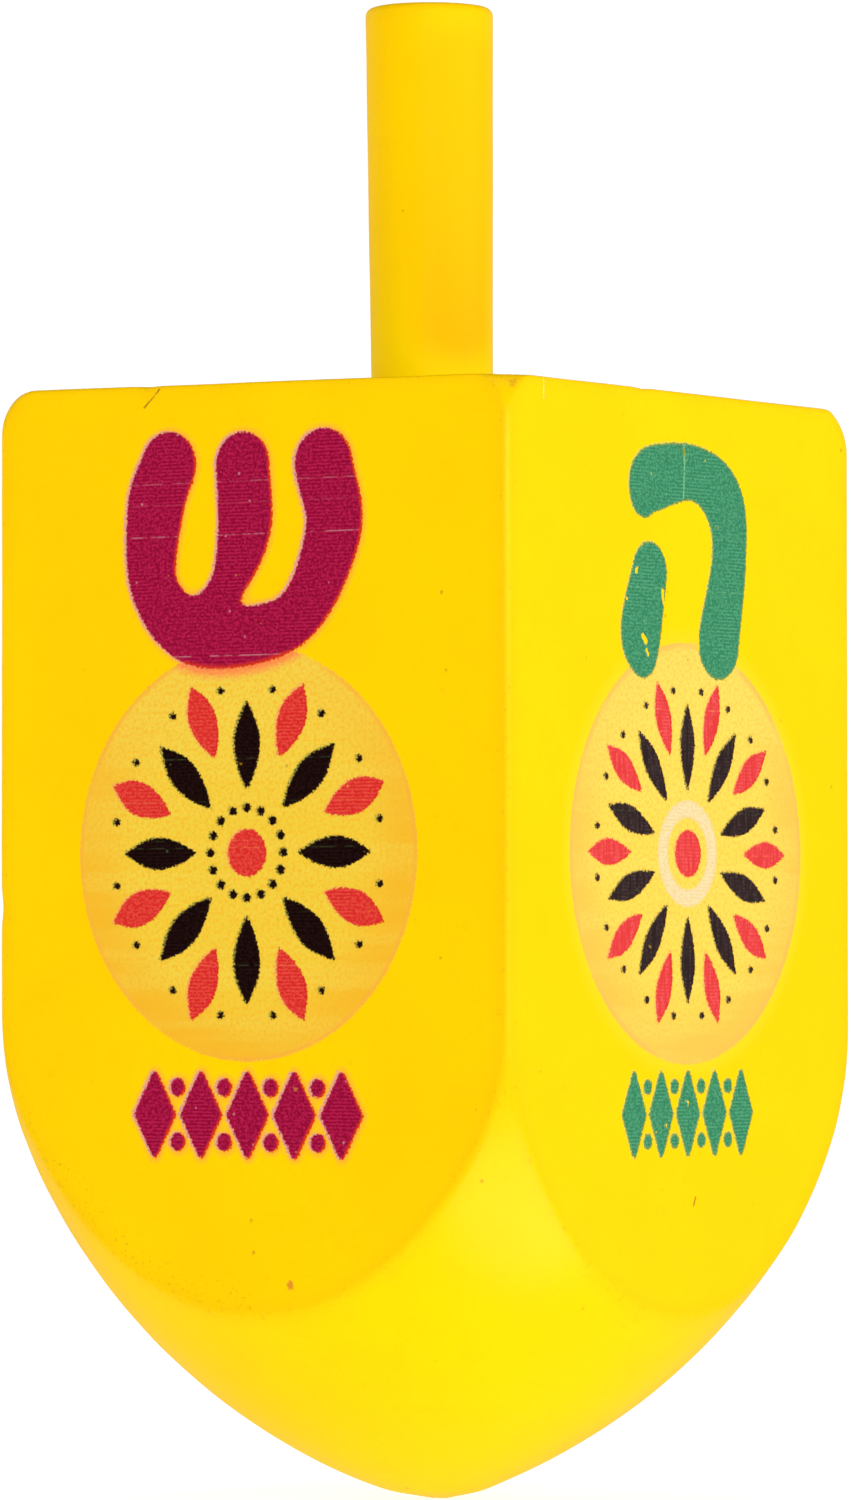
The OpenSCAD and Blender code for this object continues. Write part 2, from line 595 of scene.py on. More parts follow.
def petal(inner, outer, half_width, bend=0.0):
    """A leaf that points away from the centre of a rosette, curved by the bend."""
    def make(centre_u, centre_z, angle):
        stops = []
        for share, width in ((0.0, 0.12), (0.3, 0.8), (0.6, 1.0), (1.0, 0.1)):
            radius = inner + (outer - inner) * share
            lean = angle + bend * share
            stops.append((
                centre_u + radius * math.sin(lean),
                centre_z + radius * math.cos(lean),
                half_width * width,
            ))
        return stroke(stops)
    return make


def spot(radius, size):
    """A dot at a distance from the centre of a rosette."""
    def make(centre_u, centre_z, angle):
        return disc(centre_u + radius * math.sin(angle), centre_z + radius * math.cos(angle), size)
    return make


# Films of ink on the flats

def on_face(face, across, height, out):
    """Points on one of the four flats: 0 front, 1 right, 2 back, 3 left."""
    depth = HALF_SIDE - flat_dip(face, across, height) + out
    turn = face * math.pi / 2
    x = across * math.cos(turn) + depth * math.sin(turn)
    y = across * math.sin(turn) - depth * math.cos(turn)
    return np.column_stack([x, y, height])


def fill_outline(shape, low, high, pitch):
    """Points and faces that fill a flat shape, and the directed edges of its rim."""
    across = np.arange(low[0], high[0] + pitch, pitch)
    height = np.arange(low[1], high[1] + pitch, pitch)
    grid_u, grid_z = np.meshgrid(across, height, indexing="ij")
    depth = shape(grid_u, grid_z)
    points, number, faces, rim = [], {}, [], []

    def place_of(i, j):
        return np.array([across[i], height[j]])

    def corner(a):
        if a not in number:
            number[a] = len(points)
            points.append(place_of(*a))
        return number[a]

    def crossing(a, b):
        a, b = min(a, b), max(a, b)
        if (a, b) not in number:
            share = min(max(depth[a] / (depth[a] - depth[b]), 0.04), 0.96)
            start, end = place_of(*a), place_of(*b)
            number[a, b] = len(points)
            points.append(start + (end - start) * share)
        return number[a, b]

    inside = depth < 0
    busy = inside[:-1, :-1] | inside[1:, :-1] | inside[1:, 1:] | inside[:-1, 1:]
    for i, j in zip(*np.nonzero(busy)):
        corners = [(i, j), (i + 1, j), (i + 1, j + 1), (i, j + 1)]
        face, cuts = [], []
        for a, b in zip(corners, corners[1:] + corners[:1]):
            if inside[a]:
                face.append(corner(a))
            if inside[a] != inside[b]:
                face.append(crossing(a, b))
                cuts.append((len(face) - 1, inside[a]))
        faces.append(tuple(face))
        for place, leaving in cuts:
            if leaving:
                rim.append((face[place], face[(place + 1) % len(face)]))
    return np.array(points), faces, rim


def smooth_step(share):
    """0 below 0, 1 above 1, and smooth between them."""
    share = np.clip(share, 0, 1)
    return share * share * (3 - 2 * share)


def film_rise(outline, height, across, tall):
    """How far a film stands out of what it lies on; its rim is sunk, so that no step shows."""
    return (height + FILM_EDGE) * smooth_step(-outline(across, tall) / FILM_TAPER) - FILM_EDGE


def make_film(name, face, shapes, box, pitch, height, material, slot):
    """A thin closed film of ink that lies on a flat or on the medallion's film.

    The shapes are its outline, its ink, its under print and the medallion's ground.
    """
    outline, ink, under, ground = shapes
    flat, faces, rim = fill_outline(outline, *box, pitch)
    across, tall = flat[:, 0], flat[:, 1]
    rise = film_rise(outline, height, across, tall)
    if ink is not ground:
        wide = grown(ground, GROUND_MARGIN[face % 2])
        rise += np.maximum(film_rise(wide, GROUND_HEIGHT, across, tall), 0)
    top = on_face(face, across, tall, rise)
    base = on_face(face, across, tall, np.full(len(flat), -FILM_SINK))
    count = len(flat)
    under_faces = [tuple(count + k for k in reversed(loop)) for loop in faces]
    walls = [(b, a, count + a, count + b) for a, b in rim]
    smooth = [True] * len(faces) + [False] * (len(under_faces) + len(walls))
    film = make_object(name, np.vstack([top, base]), faces + under_faces + walls, material, smooth)
    side = np.full(count, face * FACE_STEP + 10)
    add_attribute(film, "print_uv", np.tile(np.column_stack([across, tall, side]), (2, 1)))
    for field, shape in (("ink", ink), ("under", under), ("ground", ground)):
        add_attribute(film, field, np.tile(-shape(across, tall), 2))


# The four game letters, each a few brush strokes: place across, height, half width

SHIN = (
    ((-4.65, 49.85, 1.65), (-5.45, 47.75, 1.7), (-5.45, 43.9, 1.4), (-2.7, 41.65, 1.55),
     (2.65, 42.25, 1.35), (5.05, 46.35, 1.62), (4.5, 49.65, 1.7)),
    ((-0.25, 49.75, 1.6), (-0.15, 46.7, 1.58), (-1.15, 44.0, 1.05), (-2.75, 42.05, 1.2)),
)
HEY = (
    ((-3.6, 48.5, 1.3), (-2.95, 49.1, 1.62), (0.8, 49.55, 1.38), (3.4, 48.2, 1.7),
     (3.85, 45.5, 1.53), (2.9, 41.45, 1.83)),
    ((-3.15, 44.6, 1.52), (-3.9, 41.9, 1.75), (-3.75, 40.8, 1.28)),
)
GIMEL = (
    ((-2.4, 49.3, 1.55), (0.6, 49.5, 1.4), (2.6, 47.4, 1.55), (2.75, 44.2, 1.6), (3.5, 41.6, 1.65)),
    ((2.4, 44.0, 1.3), (-0.4, 43.1, 1.45), (-3.2, 41.6, 1.65)),
)
NUN = (
    ((-0.6, 49.3, 1.5), (1.2, 49.4, 1.4), (2.4, 48.0, 1.5), (2.35, 44.8, 1.5), (2.4, 41.8, 1.5)),
    ((2.3, 41.65, 1.45), (-0.6, 41.5, 1.5), (-3.6, 41.6, 1.65)),
)
LETTERS = (SHIN, HEY, GIMEL, NUN)
LETTER_BOX = ((-9.0, 38.5), (9.0, 52.5))

# The medallion under each letter and the row of ornament under that
MEDALLION_Z = 31.5
MEDALLION_R = (10.0, 10.2)
ROW_Z = 19.0

# How far each face's print lies aside, and how far its letter lies aside and up
PRINT_ASIDE = (-0.12, 0.29, 0.1, -0.2)
LETTER_ASIDE = (-0.15, 0.17, 0.12, -0.15)
LETTER_RISE = (0.28, 0.3, 0.25, 0.3)


def rosette(face):
    """Black petals, red drops and an inner ring, in a layout of its own on each flat."""
    count = (8, 10, 12, 6)[face]
    centre = (PRINT_ASIDE[face], MEDALLION_Z)
    between_petals = math.pi / count
    black = joined(
        around(centre, count, petal(3.1, 7.2, 6.0 / count)),
        around(centre, count * 2, spot(7.9, 0.2), between_petals / 2),
    )
    red = joined(
        disc(*centre, 1.15),
        around(centre, count, petal(5.0, 8.6, 6.4 / count), between_petals),
    )
    if face % 2 == 0:
        return joined(black, around(centre, count * 2, spot(2.15, 0.24))), red, None
    return black, red, ring(*centre, 2.15, 0.42)


def border_row(face):
    """Diamonds with a dot between each two."""
    step = (2.75, 2.35)[face % 2]
    middle = PRINT_ASIDE[face]
    shapes = [lozenge(middle + k * step, ROW_Z, step * 0.46, 2.1, 0.22) for k in range(-2, 3)]
    for k in range(-2, 2):
        for rise in (-1.3, 1.3):
            shapes.append(disc(middle + (k + 0.5) * step, ROW_Z + rise, step * 0.17))
    return joined(*shapes)


# Materials

class Nodes:
    """A node tree, with short ways to add nodes to it."""

    def __init__(self, tree):
        self.tree = tree

    def link(self, value, socket):
        """Joins a node's output to a socket, or sets the socket to a plain value."""
        if isinstance(value, bpy.types.NodeSocket):
            self.tree.links.new(value, socket)
        elif socket.type == "RGBA":
            socket.default_value = (*value, 1)
        else:
            socket.default_value = value

    def add(self, kind, inputs=(), output=0, **settings):
        """Adds a node with its settings and inputs, and gives one of its outputs."""
        node = self.tree.nodes.new(kind)
        for name, value in settings.items():
            setattr(node, name, value)
        for socket, value in inputs:
            self.link(value, node.inputs[socket])
        return node.outputs[output]

    def math(self, operation, *values):
        return self.add("ShaderNodeMath", enumerate(values), operation=operation)

    def times(self, first, second):
        return self.math("MULTIPLY", first, second)

    def scaled(self, first, factor, second):
        """The first times the factor, and the second added to it."""
        return self.math("MULTIPLY_ADD", first, factor, second)

    def between(self, value, low, high):
        """0 below low, 1 above high, and smooth between them."""
        inputs = ("Value", value), ("From Min", low), ("From Max", high)
        return self.add("ShaderNodeMapRange", inputs, "Result", interpolation_type="SMOOTHSTEP")

    def mix(self, share, first, second):
        """One colour laid over another."""
        return self.add("ShaderNodeMix", ((0, share), (6, first), (7, second)), 2, data_type="RGBA")

    def lay(self, colour, share, strength, tone):
        """A tone laid over a colour, by a share of the strength."""
        return self.mix(self.times(share, strength), colour, tone)

    def blend(self, share, first, second):
        """One number faded into another."""
        return self.add("ShaderNodeMix", ((0, share), (2, first), (3, second)))

    def noise(self, place, scale, detail=2.0, stretch=None):
        """Cloudy noise; the scale is in cycles to a millimetre."""
        if stretch:
            place = self.vector("MULTIPLY", place, stretch)
        inputs = ("Vector", place), ("Scale", scale), ("Detail", detail)
        return self.add("ShaderNodeTexNoise", inputs, "Fac")

    def cells(self, place, scale):
        """Distance from scattered points, in cells of the given number to a millimetre."""
        return self.add("ShaderNodeTexVoronoi", (("Vector", place), ("Scale", scale)), "Distance")

    def specks(self, place, scale, size):
        """Small round spots, one in each cell."""
        return self.between(self.cells(place, scale), size, size * 0.5)

    def vector(self, operation, *values):
        slots = (0, "Scale") if operation == "SCALE" else (0, 1)
        output = "Value" if operation in ("DOT_PRODUCT", "LENGTH") else "Vector"
        return self.add("ShaderNodeVectorMath", zip(slots, values), output, operation=operation)

    def from_line(self, place, start, end):
        """Distance from a short straight line between two places."""
        run = Vector(end) - Vector(start)
        offset = self.vector("SUBTRACT", place, start)
        along = self.vector("DOT_PRODUCT", offset, run / run.length_squared)
        along = self.math("MINIMUM", self.math("MAXIMUM", along, 0.0), 1.0)
        return self.vector("LENGTH", self.vector("SUBTRACT", offset, self.vector("SCALE", run, along)))

    def attribute(self, name, output="Fac"):
        return self.add("ShaderNodeAttribute", (), output, attribute_name=name)

    def millimetres(self):
        """Place on the object, in millimetres."""
        return self.vector("SCALE", self.add("ShaderNodeTexCoord", (), "Object"), 1 / MM)

    def parts(self, vector):
        """The three parts of a vector."""
        node = self.tree.nodes.new("ShaderNodeSeparateXYZ")
        self.link(vector, node.inputs[0])
        return node.outputs


class Look(Nodes):
    """A material, whose nodes give its colour, relief and roughness."""

    def __init__(self, name, roughness, specular):
        self.material = bpy.data.materials.new(name)
        self.material.use_nodes = True
        super().__init__(self.material.node_tree)
        self.surface = self.tree.nodes["Principled BSDF"]
        self.surface.inputs["Roughness"].default_value = roughness
        self.surface.inputs["Specular IOR Level"].default_value = specular

    def bump(self, height, depth):
        """Raises the surface by up to the depth, in millimetres."""
        normal = self.add("ShaderNodeBump", (("Height", height), ("Distance", depth * MM)), "Normal")
        self.link(normal, self.surface.inputs["Normal"])

    def finish(self, colour, roughness):
        self.link(colour, self.surface.inputs["Base Color"])
        self.link(roughness, self.surface.inputs["Roughness"])
        return self.material


def paint_layer(look, place):
    """Yellow paint over wood: its colour, relief and roughness, with grain, pits and specks."""
    cloud = look.noise(place, 0.09, 3.0)
    mottle = look.noise(place, 0.5, 3.0)
    grain = look.noise(place, 1.0, 3.0, (2.6, 2.6, 0.1))
    colour = look.mix(look.between(cloud, 0.3, 0.7), DEEP_YELLOW, PALE_YELLOW)
    colour = look.mix(0.5, colour, YELLOW)
    colour = look.lay(colour, look.between(mottle, 0.52, 0.72), 0.3, DEEP_YELLOW)
    colour = look.lay(colour, look.between(grain, 0.55, 0.8), 0.15, DEEP_YELLOW)
    rare = look.between(look.noise(place, 0.25, 1.0), 0.56, 0.6)
    away = look.cells(place, 0.55)
    specks = look.times(look.between(away, 0.075, 0.035), rare)
    colour = look.lay(colour, specks, 0.5, SPECK_BROWN)
    bubbles = look.cells(place, 0.9)
    bubble = look.times(look.between(bubbles, 0.16, 0.12), look.between(bubbles, 0.07, 0.11))
    bubble = look.times(bubble, look.between(look.noise(place, 0.35, 1.0), 0.64, 0.68))
    colour = look.lay(colour, bubble, 0.2, DULL_ORANGE)
    sand = look.between(look.noise(place, 4.0, 3.0), 0.45, 0.75)
    colour = look.lay(colour, sand, 0.35, DEEP_YELLOW)
    peel = look.scaled(sand, -0.5, look.noise(place, 2.4, 2.0))
    relief = look.scaled(grain, 1.3, look.scaled(specks, -1.5, peel))
    roughness = look.scaled(mottle, 0.15, 0.27)
    return colour, relief, roughness


# Single marks on the paint: two ends, half width and colour
PAINT_MARKS = (
    ((-5.3, -15, 53.85), (-6.2, -15, 53.0), 0.06, SPECK_BROWN),
    ((-6.3, -15, 53.65), (-5.8, -15, 53.6), 0.05, SPECK_BROWN),
    ((2.42, -15, 10.98), (2.44, -15, 10.96), 0.22, RUST),
    ((15, 0.98, 14.95), (15, 0.8, 14.6), 0.07, SPECK_BROWN),
    ((14.9, -14.9, 53.7), (14.9, -14.3, 53.7), 0.4, DULL_ORANGE),
    ((15, -11.97, 53.9), (15, -11.96, 52.8), 0.03, HAIR_WHITE),
    ((-8.0, 15, 44.6), (-8.8, 15, 43.4), 0.05, SPECK_BROWN),
    ((9.6, 15, 17.6), (9.4, 15, 17.3), 0.1, DULL_ORANGE),
    ((-15, 5.2, 14.4), (-15, 4.4, 13.9), 0.06, SPECK_BROWN),
    ((-15, -9.8, 50.1), (-15, -9.2, 49.3), 0.04, DULL_ORANGE),
)


# Single marks on the green letter of the right flat: two ends, half width and colour
INK_MARKS = (
    ((15, 0.05, 51.2), (15, 0.1, 50.2), 0.06, GREEN_PALE),
    ((15, 0.1, 50.2), (15, 0.0, 48.6), 0.05, GREEN_PALE),
    ((15, 0.0, 51.0), (15, 0.15, 50.7), 0.08, OLIVE),
    ((15, -3.55, 41.85), (15, -3.3, 41.6), 0.14, YELLOW),
    ((15, -3.25, 41.2), (15, -3.1, 41.0), 0.08, YELLOW),
    ((15, -1.85, 44.1), (15, -1.75, 43.5), 0.1, YELLOW),
    ((15, 1.25, 42.2), (15, 1.3, 41.4), 0.08, YELLOW),
)


def paint_material():
    """Satin paint with rubbed edges and the few marks of a used toy, a painted highlight along the upright
    edges, painted light at the stem's foot and painted shade along one side of the stem.
    """
    look = Look("yellow_paint", 0.5, PAINT_SHINE)
    place = look.millimetres()
    colour, relief, roughness = paint_layer(look, place)
    rubbed = look.between(look.noise(place, 4.0, 4.0, (1, 1, 0.7)), 0.58, 0.72)
    colour = look.lay(colour, look.attribute("edge"), look.scaled(rubbed, 0.2, 0.08), SPECK_BROWN)
    sandy = look.between(look.noise(place, 5.0, 2.0), 0.58, 0.7)
    colour = look.lay(colour, look.attribute("sandy"), look.times(sandy, 0.3), SPECK_BROWN)
    # Painted highlight along the upright edges
    colour = look.lay(colour, look.attribute("upright"), 0.6, HIGHLIGHT_STRIP_YELLOW)
    # Painted light: lighter paint towards the stem's foot
    colour = look.mix(look.attribute("painted_foot_light"), colour, FOOT_LIGHT_YELLOW)
    # Painted shade along one side of the stem
    side_shade = look.between(look.from_line(place, *SIDE_SHADE_LINE), *SIDE_SHADE_REACH)
    colour = look.mix(side_shade, colour, SIDE_SHADE_YELLOW)
    ragged = look.scaled(look.noise(place, 6.0, 2.0), 1.6, 0.2)
    for start, end, half_width, tone in PAINT_MARKS:
        away = look.times(look.from_line(place, start, end), ragged)
        mark = look.between(away, half_width * 1.3, half_width * 0.5)
        colour = look.lay(colour, mark, 0.8, tone)
        relief = look.scaled(mark, -2.0, relief)
    look.bump(relief, PAINT_RELIEF)
    return look.finish(colour, roughness)


def raster(look, place):
    """The woven look of a print made in rows, its thin pale streaks and a fine grit."""
    _, height, side = look.parts(place)
    turns = look.scaled(side, 0.37, look.math("DIVIDE", height, RASTER_PITCH))
    row = (("W", look.math("FLOOR", turns)),)
    luck = look.add("ShaderNodeTexWhiteNoise", row, "Value", noise_dimensions="1D")
    middle = look.math("ABSOLUTE", look.math("ADD", look.math("FRACT", turns), -0.5))
    rows = look.math("SINE", look.times(turns, 2 * math.pi))
    patches = look.between(look.noise(place, 0.3, 2.0), 0.4, 0.65)
    fibre = look.noise(place, 1.0, 3.0, (4.0, 7.5, 1.0))
    grit = look.noise(place, 7.5, 2.0)
    dots = look.scaled(look.cells(place, 1.2 / RASTER_PITCH), -0.5, 0.25)
    mixed = look.scaled(look.times(rows, patches), 0.2, dots)
    mixed = look.math("ADD", mixed, look.scaled(grit, 0.7, fibre))
    cloth = look.between(mixed, 0.66, 1.09)
    dashes = look.between(look.noise(place, 1.0, 3.0, (1.6, 0.5, 1.0)), 0.4, 0.6)
    thin = look.between(middle, 0.26, 0.14)
    rare = look.between(luck, 0.95, 1.0)
    streak = look.times(look.times(rare, thin), dashes)
    return cloth, streak, grit


def ground_layer(look, place, paint, grit, streak):
    """The pale ground of a medallion over the paint; also tells the two paler faces."""
    _, height, side = look.parts(place)
    inside = look.attribute("ground")
    paler = look.between(look.math("FRACT", look.math("DIVIDE", side, 2 * FACE_STEP)), 0.3, 0.5)
    tones = {part: look.mix(paler, *pair) for part, pair in GROUND_TONES.items()}
    cloud = look.noise(place, 0.2, 2.0)
    depth = look.scaled(cloud, 2.0, look.math("ADD", inside, -1.0))
    colour = look.mix(look.between(depth, 0.3, 3.6), tones["edge"], tones["middle"])
    upper = look.between(height, MEDALLION_Z, MEDALLION_Z + MEDALLION_R[0])
    colour = look.lay(colour, upper, 0.8, tones["top"])
    bands = look.between(look.noise(place, 1.0, 2.0, (0.06, 0.8, 1.0)), 0.42, 0.62)
    colour = look.lay(colour, bands, 0.4, tones["top"])
    stipple = look.between(look.noise(place, 5.5, 3.0), 0.42, 0.66)
    colour = look.lay(colour, stipple, 0.75, tones["edge"])
    pits = look.between(look.noise(place, 5.0, 4.0), 0.66, 0.74)
    colour = look.lay(colour, pits, 0.35, DULL_ORANGE)
    colour = look.lay(colour, streak, 0.3, tones["top"])
    colour = look.lay(colour, look.specks(place, 0.5, 0.06), 0.45, SPECK_BROWN)
    ragged = look.scaled(grit, 0.3, look.math("ADD", inside, -0.15))
    rim = look.between(ragged, look.scaled(paler, 0.12, 0.4), 0.1)
    colour = look.lay(colour, rim, look.between(cloud, 0.3, 0.55), tones["rim"])
    outside = look.lay(paint, look.between(inside, -0.85, 0.0), paler, GROUND_HALO)
    in_ground = look.between(ragged, 0.0, 0.12)
    return look.mix(in_ground, outside, colour), stipple, in_ground, paler


def ink_material(name, tones, under, fringe, halo=0.0, rim=0.0, worn=0.2, cracked=False):
    """Printed ink: woven rows, pale streaks, and an under print that shows at one side.

    The tones are dark and light, and a second such pair is for the two paler faces.
    """
    look = Look(name, 0.6, PAINT_SHINE)
    place = look.attribute("print_uv", "Vector")
    on_toy = look.millimetres()
    paint, paint_relief, paint_roughness = paint_layer(look, on_toy)
    cloth, streak, grit = raster(look, place)
    base, _, in_ground, paler = ground_layer(look, place, paint, grit, streak)
    dark, light = tones[:2]
    if len(tones) > 2:
        upright = look.between(look.noise(place, 1.0, 2.0, (5.0, 0.6, 1.0)), 0.35, 0.65)
        dark = look.mix(paler, dark, tones[2])
        light = look.mix(paler, light, look.mix(upright, *tones[2:]))
    ragged = look.scaled(grit, 0.3, -0.15)
    ink_depth = look.math("ADD", look.attribute("ink"), ragged)
    under_depth = look.math("ADD", look.attribute("under"), ragged)
    in_ink = look.between(ink_depth, -0.03, 0.06)
    in_under = look.between(under_depth, -0.06, 0.08)
    colour = look.lay(base, look.between(ink_depth, -0.38, 0.05), halo, ORANGE)
    on_ground = look.times(in_ground, halo)
    bleed = look.times(look.between(ink_depth, -0.7, 0.0), on_ground)
    colour = look.lay(colour, bleed, look.scaled(grit, 1.6, 0.2), BLUSH)
    colour = look.lay(colour, in_under, look.scaled(cloth, 0.5, 0.5), under)
    body = look.mix(look.scaled(cloth, 0.7, 0.1), dark, light)
    body = look.lay(body, streak, 0.45, under)
    body = look.lay(body, look.specks(place, 0.9, 0.09), 0.5, under)
    inked = look.mix(in_under, fringe, body)
    inked = look.lay(inked, look.between(ink_depth, 0.14, 0.03), rim, fringe)
    inked = look.lay(inked, look.between(ink_depth, 0.3, 0.05), on_ground, fringe)
    colour = look.mix(in_ink, colour, inked)
    chips = look.between(look.noise(place, 0.9, 5.0), 0.7, 0.72)
    colour = look.lay(colour, chips, worn, paint)
    for start, end, half_width, tone in INK_MARKS if cracked else ():
        away = look.scaled(grit, 0.2, look.from_line(on_toy, start, end))
        mark = look.between(away, half_width + 0.14, half_width + 0.06)
        colour = look.mix(mark, colour, tone)
    relief = look.blend(in_ink, paint_relief, look.scaled(cloth, 1.6, grit))
    look.bump(relief, PAINT_RELIEF)
    roughness = look.blend(in_ink, paint_roughness, look.scaled(cloth, 0.15, 0.48))
    return look.finish(colour, roughness)


def ground_material():
    """The medallion's pale ground, deeper towards its rim, with a stippled print."""
    look = Look("pale_ink", 0.6, PAINT_SHINE)
    place = look.attribute("print_uv", "Vector")
    paint, paint_relief, paint_roughness = paint_layer(look, look.millimetres())
    _, streak, grit = raster(look, place)
    colour, stipple, in_ground, _ = ground_layer(look, place, paint, grit, streak)
    relief = look.scaled(look.times(stipple, in_ground), 0.6, paint_relief)
    look.bump(relief, PAINT_RELIEF)
    return look.finish(colour, paint_roughness)


def glue_material():
    """Cured wood glue, which only shows when the pieces are taken apart."""
    look = Look("wood_glue", 0.4, 0.4)
    place = look.millimetres()
    cloud = look.noise(place, 0.8, 3.0)
    colour = look.mix(cloud, GLUE_AMBER, GLUE_BROWN)
    look.bump(cloud, 0.03)
    roughness = look.scaled(cloud, 0.3, 0.3)
    return look.finish(colour, roughness)


# Floor, light and camera

CAMERA_AZIMUTH = math.radians(34.918)
CAMERA_DISTANCE = 416.96
CAMERA_HEIGHT = 25.13
CAMERA_ASIDE = -0.141
CAMERA_PITCH = math.radians(1.5941)
CAMERA_ROLL = math.radians(-0.0626)
FOCAL_PIXELS = 8490.9
PICTURE_HEIGHT = 1500
SENSOR = 36.0


def make_camera():
    """The photograph's viewpoint: a long lens, a little below the middle, facing one edge."""
    around_toy = Matrix.Rotation(CAMERA_AZIMUTH, 4, "Z")
    place = around_toy @ Vector((CAMERA_ASIDE, -CAMERA_DISTANCE, CAMERA_HEIGHT))
    pitch = Matrix.Rotation(math.pi / 2 + CAMERA_PITCH, 4, "X")
    roll = Matrix.Rotation(CAMERA_ROLL, 4, "Z")
    data = bpy.data.cameras.new("camera")
    data.sensor_width = SENSOR
    data.lens = FOCAL_PIXELS / PICTURE_HEIGHT * SENSOR
    data.clip_start = 0.01
    camera = bpy.data.objects.new("camera", data)
    camera.matrix_world = Matrix.Translation(place * MM) @ around_toy @ pitch @ roll
    bpy.context.scene.collection.objects.link(camera)
    bpy.context.scene.camera = camera


# Softboxes: degrees round from the front, degrees up, power in watts
SOFTBOXES = {
    "key": (75, 12, 1.14),
    "front": (35, 3, 1.41),
    "right": (110, 5, 1.08),
    "top": (20, 88, 1.27),
    "left": (-70, 5, 0.5),
    "back_left": (-110, 20, 1.02),
    "fill": (-20, 30, 0.22),
}
# Those that leave no sheen on the paint
MATT_LIGHTS = ("left", "back_left")
# Distance, width and height in metres
SOFTBOX_DISTANCE = 0.65
SOFTBOX_SIZE = (0.35, 0.3)
BACKDROP = 1.05
HORIZON = 0.72
SHEEN_SKY = 0.47
OVERHEAD = 0.0
FLOOR_GLOW = 0.77
FLOOR_R = 450.0
FLOOR_INNER_R = 20
# The bounce card's middle, radius and brightness
CARD_PLACE = np.array([27.5, -16.0, 0.3])
CARD_R = 11.0
CARD_GLOW = 14.0


def make_sky():
    """White surroundings that light the toy less from overhead, behind a white backdrop."""
    world = bpy.data.worlds.new("studio")
    world.use_nodes = True
    nodes = Nodes(world.node_tree)
    upward = nodes.parts(nodes.add("ShaderNodeTexCoord", (), "Generated"))[2]
    level = nodes.blend(nodes.between(upward, 0.15, 0.85), HORIZON, OVERHEAD)
    in_sheen = nodes.add("ShaderNodeLightPath", (), "Is Glossy Ray")
    level = nodes.scaled(in_sheen, SHEEN_SKY - HORIZON, level)
    level = nodes.blend(nodes.add("ShaderNodeLightPath", (), "Is Camera Ray"), level, BACKDROP)
    background = world.node_tree.nodes["Background"]
    background.inputs["Color"].default_value = (1, 1, 1, 1)
    nodes.link(level, background.inputs["Strength"])
    bpy.context.scene.world = world


def make_lights():
    """Soft light from all round, a little stronger from the right and the front."""
    aim = Vector((0, 0, BODY_TOP / 2 * MM))
    for name, (azimuth, elevation, power) in SOFTBOXES.items():
        a, e = math.radians(azimuth), math.radians(elevation)
        away = Vector((math.sin(a) * math.cos(e), -math.cos(a) * math.cos(e), math.sin(e)))
        data = bpy.data.lights.new(name, "AREA")
        data.shape = "RECTANGLE"
        data.size, data.size_y = SOFTBOX_SIZE
        data.energy = power
        light = bpy.data.objects.new(name, data)
        light.location = aim + away * SOFTBOX_DISTANCE
        light.rotation_euler = away.to_track_quat("Z", "Y").to_euler()
        light.visible_camera = False
        light.visible_glossy = name not in MATT_LIGHTS
        bpy.context.scene.collection.objects.link(light)


def make_floor():
    """A wide round light table: matt white, and lit from within."""
    rings, columns = 40, 96
    heading = headings(full_turn(columns))
    points, faces = [np.zeros((1, 3))], [(0, 1 + k, 1 + (k + 1) % columns) for k in range(columns)]
    for ring in range(rings):
        radius = FLOOR_INNER_R * (FLOOR_R / FLOOR_INNER_R) ** (ring / (rings - 1))
        points.append(level_ring(heading, radius, 0))
        if ring:
            faces += ring_faces(1 + ring * columns, 1 + (ring - 1) * columns, columns)
    look = Look("white_board", 0.8, 0.1)
    place = look.millimetres()
    fibre = look.noise(place, 0.8, 4.0)
    look.bump(fibre, 0.01)
    tone = look.mix(fibre, BOARD_DEEP, BOARD_PALE)
    look.surface.inputs["Emission Color"].default_value = (1, 1, 1, 1)
    look.surface.inputs["Emission Strength"].default_value = FLOOR_GLOW
    material = look.finish(tone, look.scaled(fibre, 0.1, 0.75))
    floor = new_object("floor", np.concatenate(points), faces, material)
    floor.visible_glossy = False


def make_bounce_card():
    """A small bright card on the floor that only shows as a sheen on the turned point."""
    columns = 48
    points = np.vstack([CARD_PLACE, CARD_PLACE + level_ring(headings(full_turn(columns)), CARD_R, 0)])
    look = Look("bounce_card", 0.8, 0.1)
    look.surface.inputs["Emission Color"].default_value = (1, 1, 1, 1)
    look.surface.inputs["Emission Strength"].default_value = CARD_GLOW
    faces = [(0, 1 + k, 1 + (k + 1) % columns) for k in range(columns)]
    card = new_object("bounce_card", points, faces, look.material)
    card.visible_camera = False
    card.visible_diffuse = False
    card.visible_shadow = False


# The toy, put together

# Each ink's tones, under print, fringe and wear
INKS = {
    "magenta_ink": dict(tones=(MAGENTA, MAGENTA_LIGHT), under=PINK, fringe=RED_ORANGE, halo=0.8),
    "green_ink": dict(
        tones=(GREEN, GREEN_LIGHT), under=GREEN_PALE, fringe=OLIVE, rim=0.7, worn=1.0, cracked=True),
    "black_ink": dict(
        tones=(BLACK, BLACK_LIGHT, GREY_BROWN, GREY_BROWN_LIGHT), under=TEAL, fringe=BLACK_LIGHT),
    "red_ink": dict(tones=(RED, RED_LIGHT, ROSE, ROSE_LIGHT), under=SALMON, fringe=RED),
    "cream_ink": dict(tones=(CREAM, CREAM_DEEP), under=CREAM, fringe=CREAM_DEEP, rim=0.5),
}
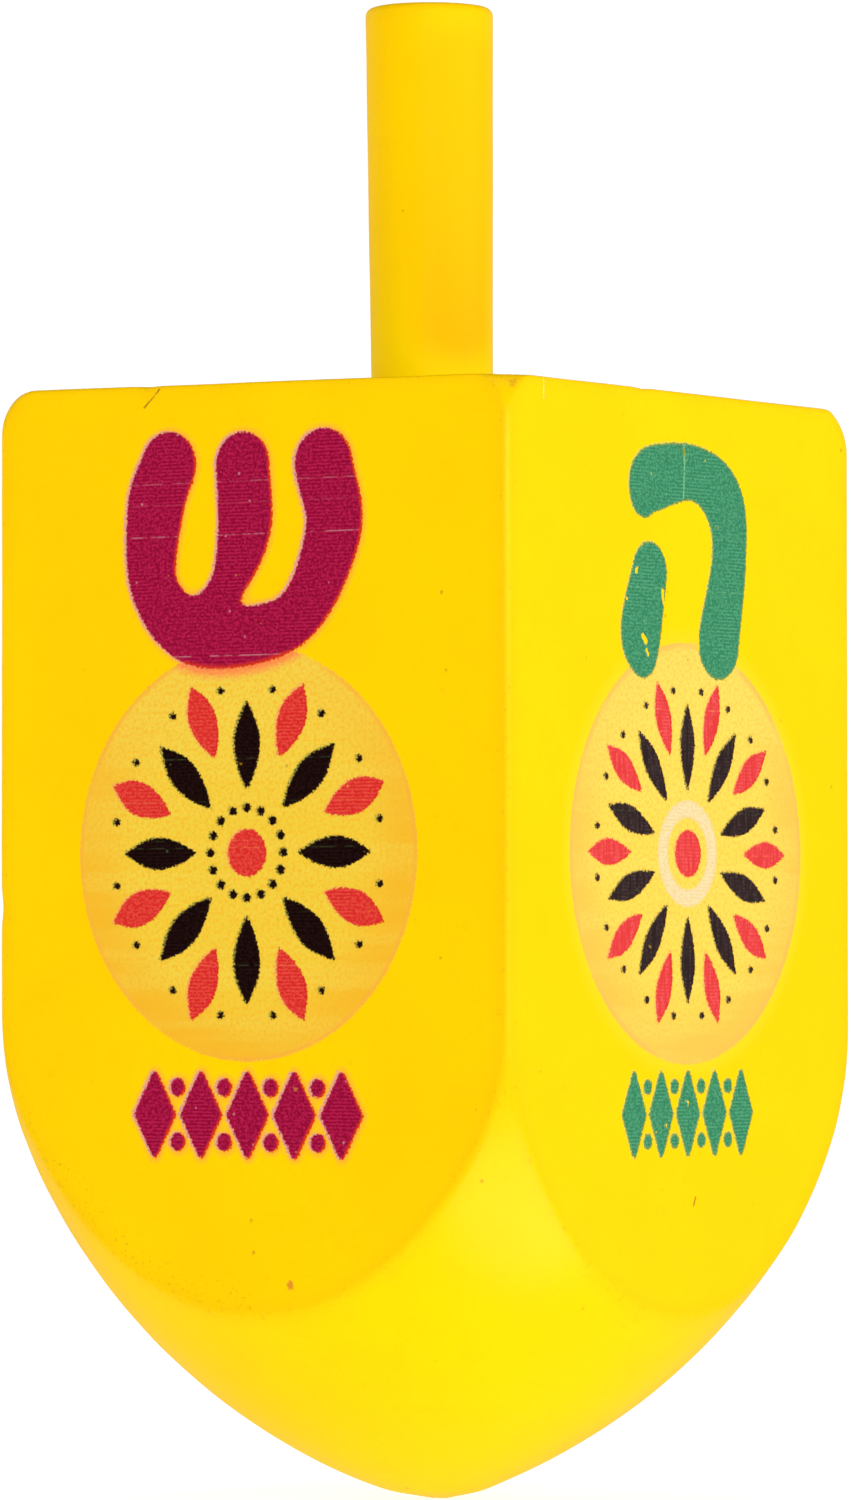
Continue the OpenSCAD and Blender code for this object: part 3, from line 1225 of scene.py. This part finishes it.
# How far each ink's under print lies aside, how far its film reaches past the ink, and its layer
INK_FILMS = {
    "magenta_ink": (0.07, 0.75, 3),
    "green_ink": (0.03, 0.4, 3),
    "black_ink": (0.05, 0.35, 1),
    "red_ink": (0.05, 0.35, 2),
    "cream_ink": (0.0, 0.3, 2),
}
ORNAMENT_BOX = ((-11.8, 20.0), (11.8, 43.0))
ROW_BOX = ((-9.0, 15.5), (9.0, 22.5))


def make_print(name, face, shape, ground, box, ink, material):
    """One printed shape, with its under print a little to the left."""
    aside, margin, layer = INK_FILMS[ink]
    inked = moved(shape, aside, 0)
    under = moved(shape, -aside, aside / 2)
    outline = grown(shape, margin)
    slot = "pale_ink" if ink == "cream_ink" else ink
    height = INK_HEIGHT * layer
    make_film(name, face, (outline, inked, under, ground), box, LETTER_PITCH, height, material, slot)


def make_prints():
    """Letter, medallion, rosette and border on each of the four flats."""
    inks = {name: ink_material(name, **choices) for name, choices in INKS.items()}
    pale = ground_material()
    for face, side in enumerate(("front", "right", "back", "left")):
        ground = disc(PRINT_ASIDE[face], MEDALLION_Z, MEDALLION_R[face % 2])
        wide = grown(ground, GROUND_MARGIN[face % 2])
        make_film(f"medallion_{side}", face, (wide, ground, ground, ground), ORNAMENT_BOX, GROUND_PITCH,
                  GROUND_HEIGHT, pale, "pale_ink")
        letter_ink = ("magenta_ink", "green_ink")[face % 2]
        strokes = flowing(LETTER_FLOW, *[stroke(points) for points in LETTERS[face]])
        letter = moved(strokes, LETTER_ASIDE[face], LETTER_RISE[face])
        petals, drops, band = rosette(face)
        prints = [
            ("petals", petals, ORNAMENT_BOX, "black_ink"),
            ("drops", drops, ORNAMENT_BOX, "red_ink"),
            ("letter", letter, LETTER_BOX, letter_ink),
            ("border", border_row(face), ROW_BOX, letter_ink),
        ]
        if band:
            prints.append(("band", band, ORNAMENT_BOX, "cream_ink"))
        for name, shape, box, ink in prints:
            make_print(f"{name}_{side}", face, shape, ground, box, ink, inks[ink])


def main():
    bpy.context.scene.view_settings.view_transform = "Standard"
    paint = paint_material()
    make_block(paint)
    make_stem(paint)
    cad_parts["stem_glue"].data.materials.clear()
    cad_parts["stem_glue"].data.materials.append(glue_material())
    make_prints()
    make_floor()
    make_bounce_card()
    make_lights()
    make_sky()
    make_camera()


main()
